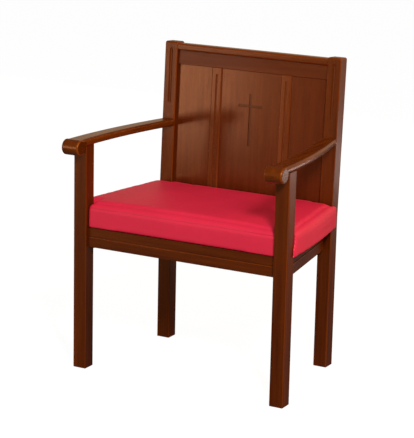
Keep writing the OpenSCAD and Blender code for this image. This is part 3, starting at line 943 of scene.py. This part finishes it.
class CHOIRCHAIR_OT_back_rails(bpy.types.Operator):
    """Models the cap rail, the frieze rail and the bottom rail of the back"""

    bl_idname = "choir_chair.back_rails"
    bl_label = "Back Rails"

    def execute(self, context):
        sizes = chair().back_sizes
        half = REAR_POST_LOW.x
        cap_top, frieze_top, frieze_low = back_levels()
        face, back = sizes.stile_setback, sizes.stile_setback + sizes.stile

        def long_edge(m, w):
            return abs(w.x) > ALONG

        cap = plank(
            "back_cap_shaped",
            (-half, sizes.cap_setback, frieze_top),
            (half, sizes.cap_setback + sizes.cap_depth, cap_top),
        )
        ease(cap, long_edge, sizes.cap_edge, steps=5)
        frieze = plank("back_frieze_shaped", (-half, face, frieze_low), (half, back, frieze_top))
        lowest = frieze_low + NEAR
        ease(frieze, lambda m, w: long_edge(m, w) and m.z < lowest, sizes.rail_edge)
        bottom = plank("back_bottom_rail_shaped", (-half, face, 0), (half, back, sizes.bottom_rail))
        ease(bottom, long_edge, sizes.rail_edge)
        for piece, node, finish, slot in (
            (cap, "back_cap", "cap_wood", "mahogany_light"),
            (frieze, "back_frieze", "frieze_wood", "mahogany_dark"),
            (bottom, "back_bottom_rail", "frame_wood_across", "mahogany_dark"),
        ):
            lean_back(piece)
            polish(piece)
            hand_over(piece, finish_named(finish), slot, node)
        return {"FINISHED"}


class CHOIRCHAIR_OT_muntins(bpy.types.Operator):
    """Models the two muntins, each a pair of reeds with a flute between"""

    bl_idname = "choir_chair.muntins"
    bl_label = "Muntins"

    def execute(self, context):
        frame_sizes, sizes = chair().frame_sizes, chair().back_sizes
        low, high = sizes.bottom_rail, back_levels()[2]
        x, half, face = sizes.muntin_place, sizes.muntin_width / 2, sizes.stile_setback
        right = plank(
            "muntin_right_shaped", (x - half, face, low), (x + half, face + sizes.stile, high)
        )
        ease(right, lambda m, w: abs(w.z) > ALONG and m.y < face + NEAR / 2, sizes.reed, steps=5)
        deep = frame_sizes.flute_depth
        wide, below = sizes.muntin_width / 5, 5 * MM
        tool = gouge(wide / 2, low - below, high - half, (x, face - wide / 2 + deep))
        carve(right, tool)
        lean_back(right)
        left = reflected(right, "muntin_left_shaped")
        for piece, node in ((right, "muntin_right"), (left, "muntin_left")):
            polish(piece)
            hand_over(piece, finish_named("muntin_wood"), "mahogany_light", node)
        return {"FINISHED"}


class CHOIRCHAIR_OT_panels(bpy.types.Operator):
    """Models the three back panels and cuts the cross into the middle one"""

    bl_idname = "choir_chair.panels"
    bl_label = "Panels"

    def execute(self, context):
        sizes = chair().back_sizes
        low, high = sizes.bottom_rail - sizes.tongue, back_levels()[2] + sizes.tongue
        front = sizes.stile_setback + sizes.panel_setback
        rear = front + sizes.panel
        inner = sizes.muntin_place - sizes.muntin_width / 2
        outer = sizes.muntin_place + sizes.muntin_width / 2
        right = plank(
            "panel_right_shaped",
            (outer - sizes.tongue, front, low),
            (REAR_POST_LOW.x + sizes.tongue, rear, high),
        )
        centre = plank(
            "panel_centre_shaped",
            (-inner - sizes.tongue, front, low),
            (inner + sizes.tongue, rear, high),
        )
        self.cut_cross(centre, front, high - sizes.tongue - sizes.cross_gap)
        for piece in (right, centre):
            lean_back(piece)
        left = reflected(right, "panel_left_shaped")
        for piece, node in ((right, "panel_right"), (centre, "panel_centre"), (left, "panel_left")):
            polish(piece)
            hand_over(piece, finish_named("panel_wood"), "mahogany_light", node)
        return {"FINISHED"}

    def cut_cross(self, panel, face, top):
        """Cuts the cross into the face of a panel, eases the cut and marks its inner faces for
        painted shade.
        """
        sizes = chair().back_sizes
        half, floor = sizes.cross_stroke / 2, face + sizes.cross_depth
        wide, low = sizes.cross_width / 2, top - sizes.cross_height
        upright = plank("cross_upright", (-half, face - OVERRUN, low), (half, floor, top))
        bar_z = top - sizes.cross_bar
        bar = plank(
            "cross_bar",
            (-wide, face - OVERRUN, bar_z - half),
            (wide, floor, bar_z + half),
        )
        carve(upright, bar, "UNION")
        carve(panel, upright)

        def at_cross(p):
            return abs(p.x) < wide + NEAR and low - NEAR < p.z < top + NEAR

        ease(panel, lambda m, w: m.y < face + CLOSE and at_cross(m), sizes.cross_edge, steps=2)
        inside = 2 * CLOSE
        # The cut's inner faces get painted shade
        note_stain_and_shade(panel, lambda c, n: face + inside < c.y < floor + inside and at_cross(c))


# The seat pad


def pad_block(name, low, high, inset=0.0):
    """An upright block of the pad's plan: tapered, bowed, and cut round legs and posts."""
    sizes = chair().pad_sizes
    gap = sizes.clear + inset
    start, end = FRONT_LEG_HIGH.y + gap, REAR_POST_LOW.y - gap
    front, back = PAD_LOW.y + sizes.front_room + inset, PAD_HIGH.y - sizes.back_clear - inset
    wide = FRONT_LEG_HIGH.x + sizes.front_overhang - inset
    rear = REAR_POST_HIGH.x + sizes.rear_overhang - inset
    block = plank(name, (-wide, front, low), (wide, back, high))
    column_shares = (-0.5, 0, 0.5)
    for share in column_shares:
        saw(block, (FRONT_LEG_LOW.x * share, 0, 0), (1, 0, 0))
    side_draw_share = 0.7
    for reach, draw in ((NEAR, sizes.draw), (wide - NEAR, sizes.draw * side_draw_share)):
        shift_points(block, lambda p: p.y < front + CLOSE and abs(p.x) < reach, (0, draw, 0))
    rows = 8
    levels = [start + (end - start) * i / rows for i in range(rows + 1)]
    for y in levels:
        saw(block, (0, y, 0), (0, 1, 0))
    for i, y in enumerate(levels + [back]):
        t = min(i / rows, 1)
        side = wide + (rear - wide) * t + sizes.side_bow * arch(t)
        pick_points(block, lambda p: abs(p.y - y) < CLOSE and abs(p.x) > wide - NEAR)
        bpy.ops.transform.resize(value=(side / wide, 1, 1), center_override=(0, 0, 0))
        done(block)
    past = 30 * MM
    for way in (-1, 1):
        for inner, near, far in (
            (FRONT_LEG_LOW.x - gap, front - past, start),
            (REAR_POST_LOW.x - gap, end, back + past),
        ):
            xs = sorted((way * inner, way * (wide + past)))
            carve(block, plank("notch", (xs[0], near, low - past), (xs[1], far, high + past)))
    return block


def front_lap():
    """The strip of the cover that laps past the right leg, its front edge sloping back upward."""
    sizes = chair().pad_sizes
    root, foot = 8 * MM, PAD_LOW.z - 2 * CLOSE
    edge = FRONT_LEG_HIGH.y + sizes.clear
    inner = FRONT_LEG_HIGH.x + sizes.clear
    outer = FRONT_LEG_HIGH.x + sizes.front_overhang
    high = PAD_LOW.z + sizes.lap_height
    lap = plank("lap", (inner, edge - sizes.lap, foot), (outer, edge + root, high))
    middle = (PAD_LOW.z + high) / 2
    saw(lap, (0, 0, middle), (0, 0, 1))
    for level, back_share in ((middle, 0.2), (high, 0.8)):
        back = sizes.lap * back_share
        shift_points(lap, lambda p: p.y < edge and abs(p.z - level) < NEAR, (0, back, 0))
    return lap


def rear_lap():
    """The strip of the cover that laps past the outside of the right post."""
    sizes = chair().pad_sizes
    root, foot = 14 * MM, PAD_LOW.z - 2 * CLOSE
    edge = REAR_POST_LOW.y - sizes.clear
    inner = REAR_POST_HIGH.x + sizes.clear
    outer = REAR_POST_HIGH.x + sizes.rear_overhang
    roll_share, lap_edge = 0.55, 7 * MM
    high = PAD_LOW.z + sizes.seam_height + sizes.roll * roll_share
    lap = plank("lap", (inner, edge - root, foot), (outer, edge + sizes.lap, high))

    def upper_outer(m, w):
        return abs(w.y) > ALONG and m.z > high - NEAR and m.x > inner + NEAR

    ease(lap, upper_outer, lap_edge)
    return lap


def stuff(piece):
    """Swells a closed cloth by its inner pressure.

    The tacked underside stays, no point goes far, and most of what sinks in is taken back.
    """
    sizes = chair().pad_sizes
    pressure, frames, held_share = 4.0, 20, 0.9
    alone(piece)
    rest = [v.co.copy() for v in piece.data.vertices]
    outward = [v.normal.copy() for v in piece.data.vertices]
    cloth = piece.modifiers.new("Padding", "CLOTH")
    cloth.settings.use_pressure = True
    cloth.settings.uniform_pressure_force = pressure
    cloth.settings.effector_weights.gravity = 0
    scene = bpy.context.scene
    for number in range(1, frames + 1):
        scene.frame_set(number)
    alone(piece)
    bpy.ops.object.modifier_apply(modifier=cloth.name)
    scene.frame_set(1)
    for point, start, out in zip(piece.data.vertices, rest, outward):
        free = min(max((start.z - PAD_LOW.z) / sizes.seam_height, 0), 1)
        step = point.co - start
        step = (step - out * min(step.dot(out), 0) * held_share) * free * free
        point.co = start + step * min(sizes.swell / max(step.length, CLOSE), 1)


class CHOIRCHAIR_OT_seat_pad(bpy.types.Operator):
    """Models the boxed vinyl pad, cut round legs and posts, seamed and hemmed, and its board"""

    bl_idname = "choir_chair.seat_pad"
    bl_label = "Seat Pad"

    def execute(self, context):
        sizes = chair().pad_sizes
        seam = PAD_LOW.z + sizes.seam_height
        upper = pad_block("seat_pad_shaped", PAD_LOW.z, seam)
        self.roll_over(upper, seam)
        for lap in (front_lap(), rear_lap()):
            twin = reflected(lap, "lap_twin")
            carve(upper, lap, "UNION")
            carve(upper, twin, "UNION")
        apply_modifier(upper, "REMESH", mode="VOXEL", voxel_size=sizes.voxel, use_smooth_shade=True)
        apply_modifier(upper, "SMOOTH", factor=0.5, iterations=5)
        stuff(upper)
        self.shape(upper, seam)
        apply_modifier(upper, "SUBSURF", levels=1, render_levels=1)
        self.seam(upper, seam)
        self.hem(upper)
        alone(upper)
        bpy.ops.object.shade_smooth()
        hand_over(upper, finish_named("crimson_vinyl"), "crimson_vinyl", "seat_cover", "seat_foam")
        board = pad_block("seat_board_shaped", BOARD_LOW.z, BOARD_HIGH.z, sizes.board_inset)
        board_edge, lowest = 1 * MM, BOARD_LOW.z + CLOSE
        ease(board, lambda m, w: m.z < lowest, board_edge)
        polish(board)
        hand_over(board, finish_named("birch"), "birch", "seat_board")
        return {"FINISHED"}

    def roll_over(self, pad, seam):
        """Insets and lifts the top step by step into a rolled edge."""
        sizes = chair().pad_sizes
        steps = 5
        pick_faces(pad, lambda c, n: n.z > ALONG and c.z > seam - NEAR)
        for i in range(steps):
            before, after = pi / 2 * i / steps, pi / 2 * (i + 1) / steps
            bpy.ops.mesh.inset(thickness=sizes.roll_width * (cos(before) - cos(after)))
            bpy.ops.transform.translate(value=(0, 0, sizes.roll * (sin(after) - sin(before))))
        done(pad)

    def shape(self, pad, seam):
        """Crowns the top, flattens the underside and keeps the walls clear of the wood."""
        sizes = chair().pad_sizes
        low, loft = PAD_LOW.z, sizes.loft
        middle = (PAD_LOW.y + PAD_HIGH.y) / 2
        half = (PAD_HIGH.y - PAD_LOW.y) / 2
        crown_power, foot, foot_share, clear_share = 2.5, 5 * MM, 0.9, 0.7
        clear = sizes.clear * clear_share
        for point in pad.data.vertices:
            p = point.co
            across = min(abs(p.x) / PAD_HIGH.x, 1)
            along = min(abs(p.y - middle) / half, 1)
            if p.z > seam:
                share = min((p.z - seam) / sizes.roll, 1)
                p.z += sizes.crown * share * (1 - across**crown_power) * (1 - along**crown_power)
                p.z = min(p.z, PAD_HIGH.z + loft)
            p.z = max(p.z, low)
            if low < p.z < low + foot:
                p.z = low + (p.z - low) * foot_share
            side = 1 if p.x > 0 else -1
            x, y = self.clear_of(abs(p.x), p.y, FRONT_LEG_LOW, FRONT_LEG_HIGH, clear, 1)
            x, y = self.clear_of(x, y, REAR_POST_LOW, REAR_POST_HIGH, clear, -1)
            p.x = side * min(x, PAD_HIGH.x + loft)
            p.y = min(max(y, PAD_LOW.y - loft), PAD_HIGH.y)

    def clear_of(self, x, y, low, high, clear, way):
        """Moves a place out of a leg or a post to its nearest side.

        Way is 1 where the pad lies behind the wood, and -1 where it lies in front of it.
        """
        face = high.y + clear if way > 0 else low.y - clear
        inner, outer = low.x - clear, high.x + clear
        deep = (face - y) * way
        if deep > 0 and inner < x < outer:
            if deep <= min(x - inner, outer - x):
                return x, face
            return (inner if x - inner < outer - x else outer), y
        return x, y

    def seam(self, pad, seam):
        """Draws a crease round the walls, fainter at the sides, and puckers the walls a little."""
        sizes = chair().pad_sizes
        ripples, wander, pucker, pucker_height = 45, 0.5 * MM, 0.35 * MM, 9 * MM
        wall_share, faint_share = 0.4, 0.8
        pad.data.update()
        normals = [v.normal.copy() for v in pad.data.vertices]
        for point, normal in zip(pad.data.vertices, normals):
            p = point.co
            flat = Vector((normal.x, normal.y, 0))
            if flat.length < wall_share:
                continue
            flat.normalize()
            ripple = noise.noise(Vector((p.x * ripples, p.y * ripples, 3)))
            off_seam = (p.z - seam + ripple * wander) / sizes.seam_width
            off_hem = (p.z - PAD_LOW.z) / pucker_height
            depth = sizes.seam_depth * exp(-(off_seam**2)) * (1 - faint_share * abs(flat.x))
            depth += ripple * pucker * exp(-(off_hem**2))
            p -= flat * depth

    def hem(self, pad):
        """Opens the underside inside the hem, so that the board shows."""
        sizes = chair().pad_sizes
        below, top = PAD_LOW.z - 5 * MM, PAD_LOW.z + sizes.cover + CLOSE
        carve(pad, pad_block("hem_tool", below, top, sizes.hem))


class CHOIRCHAIR_OT_inner_parts(bpy.types.Operator):
    """Gives the corner blocks, the dowels and the screws their finishes"""

    bl_idname = "choir_chair.inner_parts"
    bl_label = "Inner Parts"

    def execute(self, context):
        birch = ["rail_dowels", "arm_dowels", "back_dowels"]
        for end in ("front", "rear"):
            birch += [f"corner_block_{end}_{side}" for side in ("left", "right")]
        for finish, nodes in (("birch", birch), ("zinc", ["block_screws", "seat_screws"])):
            for name in nodes:
                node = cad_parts[name]
                node.data.materials.clear()
                node.data.materials.append(finish_named(finish))
        return {"FINISHED"}


class CHOIRCHAIR_OT_stage(bpy.types.Operator):
    """Sets the camera, the lamps, the floor and the backdrop"""

    bl_idname = "choir_chair.stage"
    bl_label = "Stage"

    def execute(self, context):
        self.camera()
        self.lamps()
        self.floor()
        self.world()
        context.scene.view_settings.view_transform = "Standard"
        return {"FINISHED"}

    def camera(self):
        """Stands where the photograph was taken from, as far as its edges tell."""
        place = Vector((2.3961, -4.4011, 1.6669))
        yaw, pitch, roll = radians(28.72), radians(13.75), radians(1.26)
        data = bpy.data.cameras.new("camera")
        data.lens, data.sensor_width, data.clip_end = 150.86, 36, 50
        camera = bpy.data.objects.new("camera", data)
        bpy.context.collection.objects.link(camera)
        ahead = Vector((-sin(yaw) * cos(pitch), cos(yaw) * cos(pitch), -sin(pitch)))
        level = Vector((cos(yaw), sin(yaw), 0))
        upward = level.cross(ahead)
        across = level * cos(roll) + upward * sin(roll)
        upward = upward * cos(roll) - level * sin(roll)
        turn = Matrix((across, upward, -ahead)).transposed()
        camera.matrix_world = Matrix.Translation(place) @ turn.to_4x4()
        bpy.context.scene.camera = camera

    def lamps(self):
        """Hangs five soft lamps. The low one lights the right arm's outer side from the floor."""
        white, warm = (1.0, 1.0, 1.0), (1.0, 0.74, 0.45)
        rosy, blush = (1.0, 0.88, 0.82), (1.0, 0.86, 0.82)
        for name, place, aim, size, power, colour in (
            ("key", (2.2, -2.6, 2.6), (0, 0, 0.5), (0.7, 0.7), 125, white),
            ("fill", (-2.5, -3.38, 0.85), (0, 0, 0.6), (1.2, 1.5), 29, rosy),
            ("right", (2.8, 0.2, 1.9), (0, 0, 0.5), (1.2, 1.2), 30, warm),
            ("back", (0, 3.6, 1.35), (0, 0, 0.6), (7.0, 2.5), 30, warm),
            ("low", (1.7, 2.7, 0.02), (1.7, 2.7, 1), (1.2, 0.8), 14, blush),
        ):
            data = bpy.data.lights.new(name, "AREA")
            data.shape = "RECTANGLE"
            data.size, data.size_y = size
            data.energy = power
            data.color = colour
            lamp = bpy.data.objects.new(name, data)
            bpy.context.collection.objects.link(lamp)
            lamp.location = place
            lamp.rotation_euler = (Vector(aim) - Vector(place)).to_track_quat("-Z", "Y").to_euler()
            lamp.visible_camera = False

    def floor(self):
        """Lays a floor that glows for the camera and is dull to the wood's reflections."""
        wide, glow_share = 40, 0.85
        bpy.ops.object.select_all(action="DESELECT")
        bpy.ops.mesh.primitive_plane_add(size=wide, location=(0, 0, 0))
        floor = named("floor")
        finish = Finish("floor_paint")
        seen = finish.node("ShaderNodeLightPath", output="Is Camera Ray")
        colour = finish.mix(seen, (0.12, 0.12, 0.12, 1), rgba(chair().colours.floor))
        diffuse = finish.node("ShaderNodeBsdfDiffuse", {}, {"Color": colour})
        glow = finish.node("ShaderNodeEmission", {}, {"Color": (1, 1, 1, 1), "Strength": 1.1})
        mixed = finish.node("ShaderNodeMixShader", {}, {0: seen * glow_share, 1: diffuse, 2: glow})
        out = finish.tree.nodes.new("ShaderNodeOutputMaterial")
        finish.tree.links.new(mixed.socket, out.inputs["Surface"])
        floor.data.materials.append(finish.material)

    def world(self):
        """A white backdrop for the camera, an even light for the rest, and less of it in gloss."""
        world = bpy.data.worlds.new("studio")
        bpy.context.scene.world = world
        world.use_nodes = True
        tree = world.node_tree
        tree.nodes.clear()
        rays = tree.nodes.new("ShaderNodeLightPath")
        last = None
        for strength, ray in ((0.36, None), (0.06, "Is Glossy Ray"), (1.0, "Is Camera Ray")):
            shade = tree.nodes.new("ShaderNodeBackground")
            shade.inputs["Color"].default_value = (1, 1, 1, 1)
            shade.inputs["Strength"].default_value = strength
            if ray is None:
                last = shade
                continue
            mix = tree.nodes.new("ShaderNodeMixShader")
            tree.links.new(rays.outputs[ray], mix.inputs[0])
            tree.links.new(last.outputs[0], mix.inputs[1])
            tree.links.new(shade.outputs[0], mix.inputs[2])
            last = mix
        out = tree.nodes.new("ShaderNodeOutputWorld")
        tree.links.new(last.outputs[0], out.inputs["Surface"])


OPERATORS = (
    CHOIRCHAIR_OT_front_legs,
    CHOIRCHAIR_OT_rear_posts,
    CHOIRCHAIR_OT_arms,
    CHOIRCHAIR_OT_seat_rails,
    CHOIRCHAIR_OT_back_rails,
    CHOIRCHAIR_OT_muntins,
    CHOIRCHAIR_OT_panels,
    CHOIRCHAIR_OT_seat_pad,
    CHOIRCHAIR_OT_inner_parts,
    CHOIRCHAIR_OT_stage,
)


class ChoirChair(bpy.types.PropertyGroup):
    """All sizes and colours of the chair"""

    frame_sizes: bpy.props.PointerProperty(name="Frame", type=ChairFrameSizes)
    arm_sizes: bpy.props.PointerProperty(name="Arms", type=ChairArmSizes)
    back_sizes: bpy.props.PointerProperty(name="Back", type=ChairBackSizes)
    pad_sizes: bpy.props.PointerProperty(name="Pad", type=ChairPadSizes)
    colours: bpy.props.PointerProperty(name="Colours", type=ChairColours)


class CHOIRCHAIR_PT_pieces(bpy.types.Panel):
    """Lists the pieces, the sizes and the colours of the chair"""

    bl_idname = "CHOIRCHAIR_PT_pieces"
    bl_label = "Choir Chair"
    bl_space_type = "VIEW_3D"
    bl_region_type = "UI"
    bl_category = "Choir Chair"

    def draw(self, context):
        for operator in OPERATORS:
            self.layout.operator(operator.bl_idname)
        chair_data = context.scene.choir_chair
        for name in ("frame_sizes", "arm_sizes", "back_sizes", "pad_sizes", "colours"):
            group = getattr(chair_data, name)
            box = self.layout.box()
            for key in group.__annotations__:
                box.prop(group, key)


CLASSES = (
    ChairFrameSizes,
    ChairArmSizes,
    ChairBackSizes,
    ChairPadSizes,
    ChairColours,
    ChoirChair,
    *OPERATORS,
    CHOIRCHAIR_PT_pieces,
)


def register():
    for item in CLASSES:
        bpy.utils.register_class(item)
    bpy.types.Scene.choir_chair = bpy.props.PointerProperty(type=ChoirChair)


def unregister():
    del bpy.types.Scene.choir_chair
    for item in reversed(CLASSES):
        bpy.utils.unregister_class(item)


def main():
    register()
    bpy.ops.choir_chair.front_legs()
    bpy.ops.choir_chair.rear_posts()
    bpy.ops.choir_chair.arms()
    bpy.ops.choir_chair.seat_rails()
    bpy.ops.choir_chair.back_rails()
    bpy.ops.choir_chair.muntins()
    bpy.ops.choir_chair.panels()
    bpy.ops.choir_chair.seat_pad()
    bpy.ops.choir_chair.inner_parts()
    bpy.ops.choir_chair.stage()


if __name__ == "__main__":
    main()
